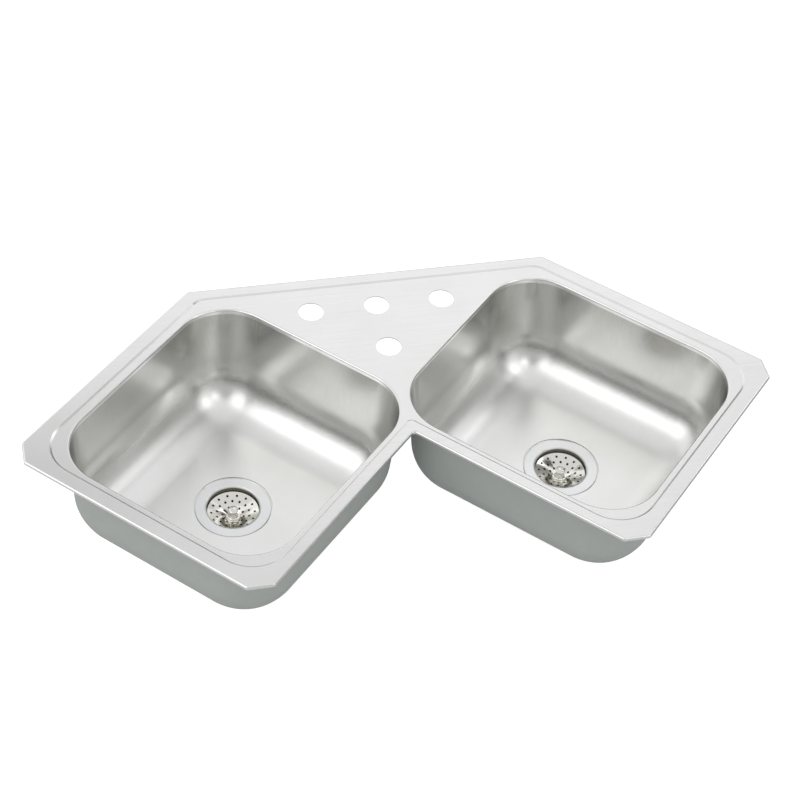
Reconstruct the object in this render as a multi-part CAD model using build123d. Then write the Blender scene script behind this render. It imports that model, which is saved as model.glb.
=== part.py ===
from build123d import *
import math
import os

# Corner kitchen sink, drop-in, double bowl, pressed from stainless sheet. Millimetres.
#
# Plan: the sink fills a corner between a back wall (along X) and a left wall (along Y).
# The right wing runs along the back wall and the left wing along the left wall, and the
# two are mirror images in the diagonal of the corner, which passes through the origin.
# Origin: the middle tap hole, on the top of the tap ledge. Z is up.
# Heights are given from the top of the tap ledge, plan places by their distances from
# the two walls.

# ---------------------------------------------------------------- driving dimensions

# Deck outline
LEG_LENGTH = 809.6          # wall side of each wing, measured from the corner
WING_WIDTH = 437.0
DIAGONAL_SETBACK = 39.5     # diagonal back edge starts this far short of the wing's width
END_CHAMFER = 27.0          # cut corners of the wing ends
CORNER_ROUND = 4.0          # small radius on every corner of the outline
SHEET = 1.2

# Clip rails under the rim
RIM_ON_WORKTOP = 8.4        # rim resting on the worktop outside the rails
RAIL_WIDTH = 7.5
RAIL_HEIGHT = 8.0
RAIL_SHEET = 0.8
RAIL_THROAT = 4.5
RAIL_TO_STEP = 0.9          # along the front, where the rim is narrowest
RAIL_END_GAP = 18.0

# Rim: raised band round the edge, rolled down on to the worktop
RIM_RISE = 2.0              # rim band above the bowl and tap field
LIP_HEIGHT = 4.8            # rolled edge, from the rim top to the worktop
RIM_ROLL = 3.0
STEP_RUN = 3.0              # plan width of the sloping step
STEP_FROM_END = 22.0
STEP_FROM_WALL = 22.5
STEP_FROM_DIAGONAL = 18.5
STEP_END_RADIUS = 61.0
STEP_BACK_RADIUS = 30.0
STEP_INNER_RADIUS = 3.0

# Bowls
BOWL_FROM_END = 34.1        # land left between the opening and the deck's edges
BOWL_FROM_FRONT = 27.5
BOWL_FROM_WALL = 38.5
BOWL_PAST_CORNER = 59.5     # how far the opening reaches behind the deck's inner corner
BOWL_CORNER = 80.5
BOWL_EDGE_ROLL = 3.0
COLLAR_DEPTH = 8.0          # deck turned down into the bowl, as far as the weld
BOWL_DEPTH = 174.6
WALL_TAPER = 7.5            # each wall leans in by this much over the depth
FLOOR_CORNER = 2.5          # plan radius left in the corners of the flat floor

# Tap holes
TAP_HOLE = 38.1
TAP_PITCH = 101.6
TAPS_FROM_EDGE = 69.65      # row of three to the diagonal back edge
FRONT_TAP_AHEAD = 90.5      # front hole from the middle one

# Drain in the bowl floor
DRAIN_SHIFT_ALONG = 5.5     # from the middle of the opening
DRAIN_SHIFT_ACROSS = -2.0
DRAIN_GAP = 2.55            # between the hole's edge and the strainer's well
RECESS_DEPTH = 3.0
RECESS_CLEARANCE = 2.0      # round the strainer flange

# Sound pads under the bowl floors
PAD_MARGIN = 6.5            # flat floor left round the pad
PAD_THICKNESS = 3.0
PAD_CORNER = 15.0
PAD_DRAIN_GAP = 12.0        # between the pad and the lock nut's lugs

# Strainer body
WELL_BORE = 79.8
WELL_LIP = 0.5              # how far the mouth closes in over the bore
WELL_WALL = 2.0
WELL_DEPTH = 50.0
WELL_CONE = 10.0            # height of the cone above the stopper seat
FLANGE_OVERLAP = 12.7       # flange past the edge of the drain hole
FLANGE_THICKNESS = 1.2
FLANGE_BEVEL = 1.5
SEAL_THICKNESS = 0.8
SEAT_WIDTH = 7.0
OUTLET_OVER_TAIL = 1.9      # outlet's bore over the tailpiece's outside
OUTLET_WALL = 3.5
OUTLET_LENGTH = 16.0
SPIDER_BELOW_SEAT = 10.0
SPIDER_THICKNESS = 3.0
SPIDER_ARM = 4.0
SPIDER_HUB = 13.0

# Rings and nuts below the bowl
LOCK_NUT_WALL = 7.9
LOCK_NUT_HEIGHT = 12.0
LOCK_LUG_REACH = 4.0
LOCK_LUG_WIDTH = 9.0
LOCK_LUGS = 6
GASKET_PAST_NUT = 2.0
GASKET_THICKNESS = 3.0
FRICTION_PAST_NUT = 1.0
FRICTION_THICKNESS = 1.0
TAIL_DIAMETER = 38.1
TAIL_WALL = 0.9
TAIL_LENGTH = 63.5
TAIL_FLANGE_GAP = 0.7       # round the tailpiece's flange, inside the nut
TAIL_FLANGE_THICKNESS = 1.5
TAIL_FLARE = 0.25           # how much wider the tube is where it meets its flange
TAIL_FLARE_BELOW_NUT = 1.0
TAIL_WASHER_THICKNESS = 2.0
COUPLING_WALL = 4.3
COUPLING_LIP = 2.5
COUPLING_TOP_GAP = 3.0      # between the nut and the well

# Lift-out basket
BASKET_GAP = 0.8            # round the basket's rim in the well's mouth
BASKET_SHEET = 0.8
BASKET_RIM_DROP = 9.0       # basket rim below the flange top
DISH_DEPTH = 13.0           # middle of the dish below its rim
DISH_BULGE = 0.8            # how far the slope bellies up from a straight cone
BASKET_HOLE = 3.6
HOLE_ROWS_FROM_RIM = (6.1, 14.1, 22.6)
HOLE_COUNTS = (14, 14, 12)
HOLE_TURNS = (0, 0.5, 0)    # each row turned by this many hole pitches
KNOB_DIAMETER = 14.8
KNOB_CAP = 4.6
KNOB_HEIGHT = 13.5
KNOB_NECK = 10.4
KNOB_FOOT = 19.0
KNOB_FOOT_HEIGHT = 1.4
KNOB_FOOT_MARGIN = 0.5      # flat of the dish left round the foot
STUD_DIAMETER = 6.0
STUD_IN_KNOB = 8.0
POST_SHOULDER = 2.0
STOPPER_OVERLAP = 5.5       # stopper past the edge of the outlet
STOPPER_THICKNESS = 5.0
STOPPER_DISH = 1.5
STOPPER_LAND = 1.0          # flat ring left round the post's shoulder
POST_NUT_FLATS = 10.0
POST_NUT_HEIGHT = 3.0
POST_TIP = 14.5             # stud's end below the stopper seat

# Clearances
THREAD_GAP = 0.2
RUNNING_GAP = 0.3
SLIP_GAP = 0.4
TOLERANCE = 1e-4            # for finding edges by their place

# ---------------------------------------------------------------- sizes worked out from them

STEP_FROM_FRONT = RIM_ON_WORKTOP + RAIL_WIDTH + RAIL_TO_STEP
STEP_SLOPE = math.atan2(RIM_RISE, STEP_RUN)
UNDER_STEP_SHIFT = SHEET * math.tan(STEP_SLOPE / 2)

BOWL_START = WING_WIDTH - BOWL_PAST_CORNER
BOWL_LENGTH = LEG_LENGTH - BOWL_FROM_END - BOWL_START       # along the wing
BOWL_WIDTH = WING_WIDTH - BOWL_FROM_FRONT - BOWL_FROM_WALL
BOWL_ALONG = BOWL_START + BOWL_LENGTH / 2                   # middle of the opening
BOWL_ACROSS = BOWL_FROM_WALL + BOWL_WIDTH / 2
FLOOR_RADIUS = BOWL_CORNER - FLOOR_CORNER
FLOOR_LENGTH = BOWL_LENGTH - 2 * WALL_TAPER                 # as if the walls met it sharp
FLOOR_WIDTH = BOWL_WIDTH - 2 * WALL_TAPER
DRAIN_ALONG = BOWL_ALONG + DRAIN_SHIFT_ALONG
DRAIN_ACROSS = BOWL_ACROSS + DRAIN_SHIFT_ACROSS

DIAGONAL_START = WING_WIDTH - DIAGONAL_SETBACK
TAP_FROM_WALLS = DIAGONAL_START / 2 + TAPS_FROM_EDGE / math.sqrt(2)     # middle hole: the origin

WELL_RADIUS = WELL_BORE / 2 + WELL_WALL
DRAIN_HOLE = 2 * (WELL_RADIUS + DRAIN_GAP)
FLANGE_DIAMETER = DRAIN_HOLE + 2 * FLANGE_OVERLAP
RECESS_RADIUS = FLANGE_DIAMETER / 2 + RECESS_CLEARANCE
WELL_OPENING = WELL_BORE - 2 * WELL_LIP
OUTLET_BORE = TAIL_DIAMETER + OUTLET_OVER_TAIL
OUTLET_RADIUS = OUTLET_BORE / 2 + OUTLET_WALL
LOCK_NUT_RADIUS = WELL_RADIUS + THREAD_GAP + LOCK_NUT_WALL
LOCK_LUG_RADIUS = LOCK_NUT_RADIUS + LOCK_LUG_REACH
COUPLING_BORE = OUTLET_RADIUS + THREAD_GAP
BASKET_RADIUS = WELL_OPENING / 2 - BASKET_GAP
POST_RADIUS = STUD_DIAMETER / 2 + POST_SHOULDER

# Levels, from the top down
RIM_TOP = RIM_RISE
WORKTOP = RIM_TOP - LIP_HEIGHT
FIELD_UNDER = -SHEET
RIM_UNDER = RIM_TOP - SHEET
WELD = -COLLAR_DEPTH
FLOOR = -BOWL_DEPTH
RECESS = FLOOR - RECESS_DEPTH
FLANGE_UNDER = RECESS + SEAL_THICKNESS
FLANGE_TOP = FLANGE_UNDER + FLANGE_THICKNESS
STOPPER_SEAT = FLANGE_TOP - WELL_DEPTH
STOPPER_TOP = STOPPER_SEAT + STOPPER_THICKNESS
WELL_UNDER = STOPPER_SEAT - WELL_WALL
OUTLET_END = WELL_UNDER - OUTLET_LENGTH
GASKET_TOP = RECESS - SHEET
GASKET_UNDER = GASKET_TOP - GASKET_THICKNESS
FRICTION_UNDER = GASKET_UNDER - FRICTION_THICKNESS
LOCK_NUT_UNDER = FRICTION_UNDER - LOCK_NUT_HEIGHT
TAIL_TOP = OUTLET_END - TAIL_WASHER_THICKNESS
TAIL_FLANGE_UNDER = TAIL_TOP - TAIL_FLANGE_THICKNESS
TAIL_END = TAIL_TOP - TAIL_LENGTH
COUPLING_UNDER = TAIL_FLANGE_UNDER - COUPLING_LIP
COUPLING_TOP = WELL_UNDER - COUPLING_TOP_GAP
BASKET_RIM = FLANGE_TOP - BASKET_RIM_DROP
DISH_TOP = BASKET_RIM - DISH_DEPTH
DISH_UNDER = DISH_TOP - BASKET_SHEET


# ---------------------------------------------------------------- plan and helpers

def plan(from_left, from_back):
    """Plan point at these distances from the left wall and the back wall."""
    return from_left - TAP_FROM_WALLS, TAP_FROM_WALLS - from_back


def left_copy(shape):
    """Mirror image of a right-wing shape in the diagonal of the corner."""
    return mirror(shape, about=Plane(origin=(0, 0, 0), z_dir=(1, 1, 0)))


def mirrored_point(point):
    """Plan point mirrored in the diagonal of the corner."""
    x, y = point
    return -y, -x


def symmetric_face(right_points, inner_point):
    """Flat face through the right wing's points, the inner corner and their mirror images."""
    left_points = [mirrored_point(point) for point in reversed(right_points)]
    return make_face(Polyline(*right_points, inner_point, *left_points, close=True))


def round_corners(face, points, radius):
    """Face with the corners nearest to these plan points rounded."""
    corners = [face.vertices().sort_by_distance((x, y, 0))[0] for x, y in points]
    return fillet(corners, radius)


def on_both_wings(points):
    """Right-wing plan points and their mirror images."""
    return list(points) + [mirrored_point(point) for point in points]


def tube(outer_radius, inner_radius, bottom, top):
    """Ring about the Z axis between two levels."""
    ring = Circle(outer_radius) - Circle(inner_radius)
    return prism(ring, bottom, top)


def turned(points):
    """Solid of revolution about Z from (radius, height) points."""
    profile = make_face(Polyline(*[(radius, 0, height) for radius, height in points], close=True))
    return revolve(profile, Axis.Z)


def prism(face, bottom, top):
    """A plan face extruded between two levels."""
    return Pos(0, 0, bottom) * extrude(face, top - bottom)


def top_edges(solid):
    """Edges round the highest face."""
    return solid.faces().sort_by(Axis.Z)[-1].edges()


def at_drain(shape):
    """A shape modelled about the Z axis, moved to the right bowl's drain."""
    x, y = plan(DRAIN_ALONG, DRAIN_ACROSS)
    return Pos(x, y, 0) * shape


# ---------------------------------------------------------------- deck

def deck_outline():
    """Outer edge of the rim."""
    far_end = LEG_LENGTH - END_CHAMFER
    right = [
        plan(DIAGONAL_START, 0),
        plan(far_end, 0),
        plan(LEG_LENGTH, END_CHAMFER),
        plan(LEG_LENGTH, WING_WIDTH - END_CHAMFER),
        plan(far_end, WING_WIDTH),
    ]
    face = symmetric_face(right, plan(WING_WIDTH, WING_WIDTH))
    return fillet(face.vertices(), CORNER_ROUND)


def step_outline(grow=0.0):
    """Foot or head of the step inside the rim, grown outwards by the given amount."""
    wall = STEP_FROM_WALL - grow
    end = LEG_LENGTH - STEP_FROM_END + grow
    front = WING_WIDTH - STEP_FROM_FRONT + grow
    diagonal = DIAGONAL_START + (STEP_FROM_DIAGONAL - grow) * math.sqrt(2)
    back_corner = plan(diagonal - wall, wall)
    end_corners = [plan(end, wall), plan(end, front)]
    inner_corner = plan(front, front)
    face = symmetric_face([back_corner, *end_corners], inner_corner)
    face = round_corners(face, on_both_wings([back_corner]), STEP_BACK_RADIUS + grow)
    face = round_corners(face, on_both_wings(end_corners), STEP_END_RADIUS + grow)
    return round_corners(face, [inner_corner], STEP_INNER_RADIUS + STEP_RUN - grow)


def step_solid(shift, head, foot):
    """Everything inside the step, from its head down to its foot."""
    upper = Pos(0, 0, head) * step_outline(shift)
    lower = Pos(0, 0, foot) * step_outline(shift - STEP_RUN)
    return loft([upper.face(), lower.face()], ruled=True)


def bowl_opening(grow=0.0):
    """Right bowl's opening in the deck, grown outwards by the given amount."""
    x, y = plan(BOWL_ALONG, BOWL_ACROSS)
    length = BOWL_LENGTH + 2 * grow
    width = BOWL_WIDTH + 2 * grow
    return Pos(x, y, 0) * RectangleRounded(length, width, BOWL_CORNER + grow)


def same_edges(solid, edges):
    """Edges of a solid that coincide with the given edges, found by their middles."""
    marks = [edge.center() for edge in edges]
    return [e for e in solid.edges() if any((e.center() - mark).length < TOLERANCE for mark in marks)]


def add_bowl_opening(deck, collar, opening):
    """Deck with one bowl opening, its edge rolled down into a collar as far as the weld."""
    deck = deck + collar - opening
    deck = fillet(same_edges(deck, top_edges(opening)), BOWL_EDGE_ROLL)
    return fillet(same_edges(deck, top_edges(collar)), BOWL_EDGE_ROLL - SHEET)


def tap_places():
    """Middles of the tap holes: three along the diagonal edge and one in front."""
    side = TAP_PITCH / math.sqrt(2)
    ahead = FRONT_TAP_AHEAD / math.sqrt(2)
    return [(0, 0), (side, side), (-side, -side), (ahead, -ahead)]


def make_deck():
    """Pressed deck: raised rim, step, bowl openings with turned-down edges and tap holes."""
    skin = prism(deck_outline(), WORKTOP, RIM_TOP)
    skin = fillet(top_edges(skin), RIM_ROLL)
    hollow = prism(offset(deck_outline(), -SHEET), WORKTOP, RIM_UNDER)
    hollow = fillet(top_edges(hollow), RIM_ROLL - SHEET)
    hollow -= step_solid(UNDER_STEP_SHIFT, RIM_UNDER, FIELD_UNDER)
    deck = skin - hollow - step_solid(0, RIM_TOP, 0)
    collar = prism(bowl_opening(SHEET), WELD, FIELD_UNDER)
    opening = prism(bowl_opening(), WELD, 0)
    deck = add_bowl_opening(deck, collar, opening)
    deck = add_bowl_opening(deck, left_copy(collar), left_copy(opening))
    for x, y in tap_places():
        deck -= Pos(x, y, FIELD_UNDER) * extrude(Circle(TAP_HOLE / 2), SHEET)
    return deck


# ---------------------------------------------------------------- bowls

def bowl_block(grow, floor_level):
    """Solid right bowl from the weld down: tapered walls run into the floor in one sweep."""
    x, y = plan(DRAIN_ALONG, DRAIN_ACROSS)
    foot = RectangleRounded(FLOOR_LENGTH + 2 * grow, FLOOR_WIDTH + 2 * grow, BOWL_CORNER + grow)
    floor = Pos(x, y, floor_level) * foot
    mouth = Pos(0, 0, WELD) * bowl_opening(grow)
    block = loft([mouth.face(), floor.face()], ruled=True)
    bottom = block.faces().sort_by(Axis.Z)[0].edges()
    return fillet(bottom, FLOOR_RADIUS + grow)


def make_bowl():
    """Drawn bowl, open at the weld, with a recess and a hole for the strainer."""
    outside = bowl_block(SHEET, FLOOR - SHEET)
    outside += at_drain(prism(Circle(RECESS_RADIUS + SHEET), RECESS - SHEET, FLOOR))
    inside = bowl_block(0, FLOOR)
    inside += at_drain(prism(Circle(RECESS_RADIUS), RECESS, FLOOR))
    inside += at_drain(prism(Circle(DRAIN_HOLE / 2), RECESS - SHEET, FLOOR))
    return outside - inside


def make_sound_pad():
    """Damping pad glued under the flat of the floor, open round the drain."""
    inset = 2 * (FLOOR_RADIUS + PAD_MARGIN)
    sheet = RectangleRounded(FLOOR_LENGTH - inset, FLOOR_WIDTH - inset, PAD_CORNER)
    sheet -= Circle(LOCK_LUG_RADIUS + PAD_DRAIN_GAP)
    return at_drain(prism(sheet, FLOOR - SHEET - PAD_THICKNESS, FLOOR - SHEET))


# ---------------------------------------------------------------- clip rails

def rail(start, end):
    """Open-bottomed channel with in-turned lips, welded under the rim between two points."""
    start, end = Vector(*start), Vector(*end)
    run = end - start
    inner = RAIL_WIDTH - 2 * RAIL_SHEET
    section = Pos(0, -RAIL_HEIGHT / 2) * Rectangle(RAIL_WIDTH, RAIL_HEIGHT)
    section -= Pos(0, -RAIL_HEIGHT / 2) * Rectangle(inner, RAIL_HEIGHT - 2 * RAIL_SHEET)
    section -= Pos(0, -RAIL_HEIGHT + RAIL_SHEET / 2) * Rectangle(RAIL_THROAT, RAIL_SHEET)
    across = run.cross(Vector(0, 0, 1)).normalized()
    plane = Plane(origin=(start.X, start.Y, RIM_UNDER), x_dir=across, z_dir=run.normalized())
    if plane.y_dir.Z < 0:
        plane = Plane(origin=plane.origin, x_dir=-across, z_dir=run.normalized())
    return extrude(plane * section, run.length)


def right_rails():
    """Rails along the wall side, the end and the front of the right wing."""
    inset = RIM_ON_WORKTOP + RAIL_WIDTH / 2
    far = LEG_LENGTH - inset
    front = WING_WIDTH - inset
    corner = END_CHAMFER + RAIL_END_GAP
    return {
        "wall": rail(plan(DIAGONAL_START + corner, inset), plan(LEG_LENGTH - corner, inset)),
        "end": rail(plan(far, corner), plan(far, WING_WIDTH - corner)),
        "front": rail(plan(WING_WIDTH + RAIL_END_GAP, front), plan(LEG_LENGTH - corner, front)),
    }


def back_rail():
    """Rail along the diagonal back edge."""
    inset = (RIM_ON_WORKTOP + RAIL_WIDTH / 2) * math.sqrt(2)
    corner = END_CHAMFER + RAIL_END_GAP
    right_end = plan(DIAGONAL_START + inset - corner, corner)
    return rail(mirrored_point(right_end), right_end)


# ---------------------------------------------------------------- strainer, fixed pieces

def make_strainer_body():
    """Flanged well with a stopper seat, a threaded outlet and the spider that guides the post."""
    rim = FLANGE_DIAMETER / 2
    edge = FLANGE_THICKNESS / 2
    bore = WELL_BORE / 2
    opening = WELL_OPENING / 2
    outlet = OUTLET_BORE / 2
    cone_top = STOPPER_SEAT + WELL_CONE
    body = turned([
        (opening + FLANGE_BEVEL * 2, FLANGE_TOP),
        (rim - edge, FLANGE_TOP),
        (rim, FLANGE_TOP - edge),
        (rim, FLANGE_UNDER),
        (WELL_RADIUS, FLANGE_UNDER),
        (WELL_RADIUS, cone_top - WELL_WALL),
        (outlet + SEAT_WIDTH + WELL_WALL, WELL_UNDER),
        (OUTLET_RADIUS, WELL_UNDER),
        (OUTLET_RADIUS, OUTLET_END),
        (outlet, OUTLET_END),
        (outlet, STOPPER_SEAT),
        (outlet + SEAT_WIDTH, STOPPER_SEAT),
        (bore, cone_top),
        (bore, FLANGE_TOP - 2 * FLANGE_BEVEL),
        (opening, FLANGE_TOP - FLANGE_BEVEL),
    ])
    return at_drain(body + spider())


def spider():
    """Three-armed cross in the outlet with a hole for the post's tip."""
    top = STOPPER_SEAT - SPIDER_BELOW_SEAT
    reach = (OUTLET_BORE + OUTLET_WALL) / 2
    cross = Circle(SPIDER_HUB / 2)
    for turn in range(3):
        cross += Rot(0, 0, 120 * turn) * Pos(reach / 2, 0) * Rectangle(reach, SPIDER_ARM)
    cross -= Circle(STUD_DIAMETER / 2 + SLIP_GAP)
    return prism(cross, top - SPIDER_THICKNESS, top)


def make_lock_nut():
    """Ring nut with lugs, drawn up under the bowl."""
    ring = Circle(LOCK_NUT_RADIUS)
    for lug in range(LOCK_LUGS):
        lug_place = Rot(0, 0, 360 * lug / LOCK_LUGS) * Pos(LOCK_LUG_RADIUS / 2, 0)
        ring += lug_place * Rectangle(LOCK_LUG_RADIUS, LOCK_LUG_WIDTH)
    ring -= Circle(WELL_RADIUS + THREAD_GAP)
    return at_drain(prism(ring, LOCK_NUT_UNDER, FRICTION_UNDER))


def make_coupling_nut():
    """Hexagonal slip nut on the outlet's thread, its lip under the tailpiece's flange."""
    hexagon = RegularPolygon(COUPLING_BORE + COUPLING_WALL, 6, major_radius=False)
    nut = prism(hexagon, COUPLING_UNDER, COUPLING_TOP)
    nut -= prism(Circle(COUPLING_BORE), TAIL_FLANGE_UNDER, COUPLING_TOP)
    nut -= prism(Circle(TAIL_DIAMETER / 2 + TAIL_FLARE + SLIP_GAP), COUPLING_UNDER, TAIL_FLANGE_UNDER)
    return at_drain(nut)


def make_tailpiece():
    """Thin tube with a flared top, the end that a trap slips on to."""
    outer = TAIL_DIAMETER / 2
    flange = COUPLING_BORE - TAIL_FLANGE_GAP
    return at_drain(turned([
        (outer - TAIL_WALL, TAIL_TOP),
        (flange, TAIL_TOP),
        (flange, TAIL_FLANGE_UNDER),
        (outer + TAIL_FLARE, TAIL_FLANGE_UNDER),
        (outer, COUPLING_UNDER - TAIL_FLARE_BELOW_NUT),
        (outer, TAIL_END),
        (outer - TAIL_WALL, TAIL_END),
    ]))


def strainer_rings():
    """Seals and washers clamped by the strainer's nuts."""
    flange = FLANGE_DIAMETER / 2 - SLIP_GAP
    hole = DRAIN_HOLE / 2 + SLIP_GAP
    well = WELL_RADIUS + SLIP_GAP
    outlet = OUTLET_RADIUS - SLIP_GAP
    rings = {
        "seal_ring": tube(flange, hole, RECESS, FLANGE_UNDER),
        "gasket": tube(LOCK_NUT_RADIUS + GASKET_PAST_NUT, well, GASKET_UNDER, GASKET_TOP),
        "friction_ring": tube(LOCK_NUT_RADIUS + FRICTION_PAST_NUT, well, FRICTION_UNDER, GASKET_UNDER),
        "tail_washer": tube(outlet, OUTLET_BORE / 2, TAIL_TOP, OUTLET_END),
    }
    return {name: at_drain(ring) for name, ring in rings.items()}


# ---------------------------------------------------------------- strainer, lift-out basket

def make_basket_cup():
    """Perforated dish: a rounded slope from the rim to a flat middle, with three rings of holes."""
    rim = BASKET_RADIUS
    flat = KNOB_FOOT / 2 + KNOB_FOOT_MARGIN
    middle = ((rim + flat) / 2, 0, (BASKET_RIM + DISH_TOP) / 2 + DISH_BULGE)
    slope = ThreePointArc((rim, 0, BASKET_RIM), middle, (flat, 0, DISH_TOP))
    bore = STUD_DIAMETER / 2 + THREAD_GAP
    top_line = slope + Line((flat, 0, DISH_TOP), (bore, 0, DISH_TOP))
    down = Vector(0, 0, -BASKET_SHEET)
    under_line = Pos(*down) * top_line
    sides = [Line((rim, 0, BASKET_RIM), (rim, 0, BASKET_RIM - BASKET_SHEET)),
             Line((bore, 0, DISH_TOP), (bore, 0, DISH_UNDER))]
    cup = revolve(make_face(top_line.edges() + under_line.edges() + sides), Axis.Z)
    for from_rim, count, turn in zip(HOLE_ROWS_FROM_RIM, HOLE_COUNTS, HOLE_TURNS):
        for hole in range(count):
            place = Rot(0, 0, 360 * (hole + turn) / count) * Pos(rim - from_rim, 0)
            cup -= place * prism(Circle(BASKET_HOLE / 2), DISH_UNDER, BASKET_RIM)
    return at_drain(cup)


def make_basket_knob():
    """Turned knob on the middle of the dish, bored for the post's stud."""
    top = DISH_TOP + KNOB_HEIGHT
    cap = KNOB_DIAMETER / 2
    round_off = KNOB_CAP / 4
    knob = turned([
        (0, DISH_TOP),
        (KNOB_FOOT / 2, DISH_TOP),
        (KNOB_NECK / 2, DISH_TOP + KNOB_FOOT_HEIGHT),
        (KNOB_NECK / 2, top - KNOB_CAP),
        (cap, top - KNOB_CAP + round_off),
        (cap, top - round_off),
        (cap - round_off, top),
        (0, top),
    ])
    knob -= prism(Circle(STUD_DIAMETER / 2 + THREAD_GAP), DISH_TOP, DISH_TOP + STUD_IN_KNOB)
    return at_drain(knob)


def make_basket_post():
    """Post below the dish: a shoulder for the stopper and a stud that runs up into the knob."""
    stud = STUD_DIAMETER / 2
    tip = STOPPER_SEAT - POST_TIP
    return at_drain(turned([
        (0, DISH_TOP + STUD_IN_KNOB),
        (stud, DISH_TOP + STUD_IN_KNOB),
        (stud, DISH_UNDER),
        (POST_RADIUS, DISH_UNDER),
        (POST_RADIUS, STOPPER_TOP),
        (stud, STOPPER_TOP),
        (stud, tip + stud / 2),
        (stud / 2, tip),
        (0, tip),
    ]))


def make_stopper():
    """Rubber disc that covers the outlet, dished on top, turning on the post."""
    rim = OUTLET_BORE / 2 + STOPPER_OVERLAP
    bore = STUD_DIAMETER / 2 + RUNNING_GAP
    land = POST_RADIUS + STOPPER_LAND
    return at_drain(turned([
        (bore, STOPPER_SEAT),
        (rim - STOPPER_DISH, STOPPER_SEAT),
        (rim, STOPPER_SEAT + STOPPER_DISH),
        (rim, STOPPER_TOP),
        (rim - STOPPER_DISH, STOPPER_TOP),
        (rim - 2 * STOPPER_DISH, STOPPER_TOP - STOPPER_DISH),
        (land + STOPPER_DISH, STOPPER_TOP - STOPPER_DISH),
        (land, STOPPER_TOP),
        (bore, STOPPER_TOP),
    ]))


def make_post_nut():
    """Small nut that holds the stopper up against the post's shoulder."""
    nut = RegularPolygon(POST_NUT_FLATS / 2, 6, major_radius=False)
    nut -= Circle(STUD_DIAMETER / 2 + THREAD_GAP)
    return at_drain(prism(nut, STOPPER_SEAT - POST_NUT_HEIGHT, STOPPER_SEAT))


# ---------------------------------------------------------------- assembly

def right_wing_pieces():
    """Every piece that each wing has once, by its plain name."""
    pieces = {
        "bowl": make_bowl(),
        "sound_pad": make_sound_pad(),
        "strainer_body": make_strainer_body(),
        "lock_nut": make_lock_nut(),
        "coupling_nut": make_coupling_nut(),
        "tailpiece": make_tailpiece(),
        "basket_cup": make_basket_cup(),
        "basket_knob": make_basket_knob(),
        "basket_post": make_basket_post(),
        "stopper": make_stopper(),
        "post_nut": make_post_nut(),
    }
    pieces.update(strainer_rings())
    pieces.update({f"{side}_rail": solid for side, solid in right_rails().items()})
    return pieces


def main():
    """Build the sink and write one STEP file for each piece."""
    parts = {"deck": make_deck(), "back_rail": back_rail()}
    for name, shape in right_wing_pieces().items():
        parts[f"right_{name}"] = shape
        parts[f"left_{name}"] = left_copy(shape)
    os.makedirs("parts", exist_ok=True)
    for name, shape in parts.items():
        export_step(shape, f"parts/{name}.step")


main()
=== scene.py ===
"""Looks of a drop-in corner kitchen sink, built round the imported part.

Everything is in metres, in the row frame: the origin is the middle tap hole on the tap ledge, X runs along
the back wall towards the right wing's end, Y towards the back wall, and Z up. The left wing is the right
wing's mirror image in the vertical plane through the diagonal of the corner.
"""

import logging
import math
from collections.abc import Callable, Sequence
from dataclasses import dataclass
from enum import Enum

import bpy
from mathutils import Matrix, Vector

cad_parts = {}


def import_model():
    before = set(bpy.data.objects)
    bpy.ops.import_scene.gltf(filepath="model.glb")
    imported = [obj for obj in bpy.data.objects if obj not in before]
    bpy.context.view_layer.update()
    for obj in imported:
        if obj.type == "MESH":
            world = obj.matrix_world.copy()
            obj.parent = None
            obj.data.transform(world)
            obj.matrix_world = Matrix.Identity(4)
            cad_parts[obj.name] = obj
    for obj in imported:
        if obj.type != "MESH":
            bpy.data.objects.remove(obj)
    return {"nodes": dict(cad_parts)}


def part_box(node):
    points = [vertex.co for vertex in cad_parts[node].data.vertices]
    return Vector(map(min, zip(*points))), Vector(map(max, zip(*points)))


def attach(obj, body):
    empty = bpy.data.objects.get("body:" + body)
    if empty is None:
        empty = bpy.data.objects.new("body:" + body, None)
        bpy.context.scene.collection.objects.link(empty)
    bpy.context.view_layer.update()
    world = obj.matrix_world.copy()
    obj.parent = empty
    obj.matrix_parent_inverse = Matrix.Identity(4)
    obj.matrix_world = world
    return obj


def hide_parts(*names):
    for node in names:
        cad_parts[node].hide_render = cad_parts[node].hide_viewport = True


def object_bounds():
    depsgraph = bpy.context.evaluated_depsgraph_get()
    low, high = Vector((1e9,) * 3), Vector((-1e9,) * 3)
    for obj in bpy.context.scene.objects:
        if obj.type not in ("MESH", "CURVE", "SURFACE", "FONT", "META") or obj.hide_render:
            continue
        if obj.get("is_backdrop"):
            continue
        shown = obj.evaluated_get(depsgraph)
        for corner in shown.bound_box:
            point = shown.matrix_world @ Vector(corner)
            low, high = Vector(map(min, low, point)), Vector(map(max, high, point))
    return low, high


LOG = logging.getLogger("corner_sink")
MM = 0.001
HAIR = 0.001 * MM                   # corners closer than this are one corner
HALF_SIDE = math.radians(30)        # half the angle that one side of a hexagon spans
SINK = "sink"

Piece = bpy.types.Object
Material = bpy.types.Material
Tree = bpy.types.NodeTree
Node = bpy.types.Node
Socket = bpy.types.NodeSocket
Pair = tuple[float, float]
Triple = tuple[float, float, float]


class Wing(Enum):
    """The two wings of the sink; the value starts every node's name on that wing."""

    RIGHT = "right"
    LEFT = "left"

    def named(self, name: str) -> str:
        """This wing's name for a piece.

        Args:
            name: The piece's plain name.

        Returns:
            The name that the piece has on this wing.
        """
        return f"{self.value}_{name}"


# ---------------------------------------------------------------- shader helpers

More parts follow.
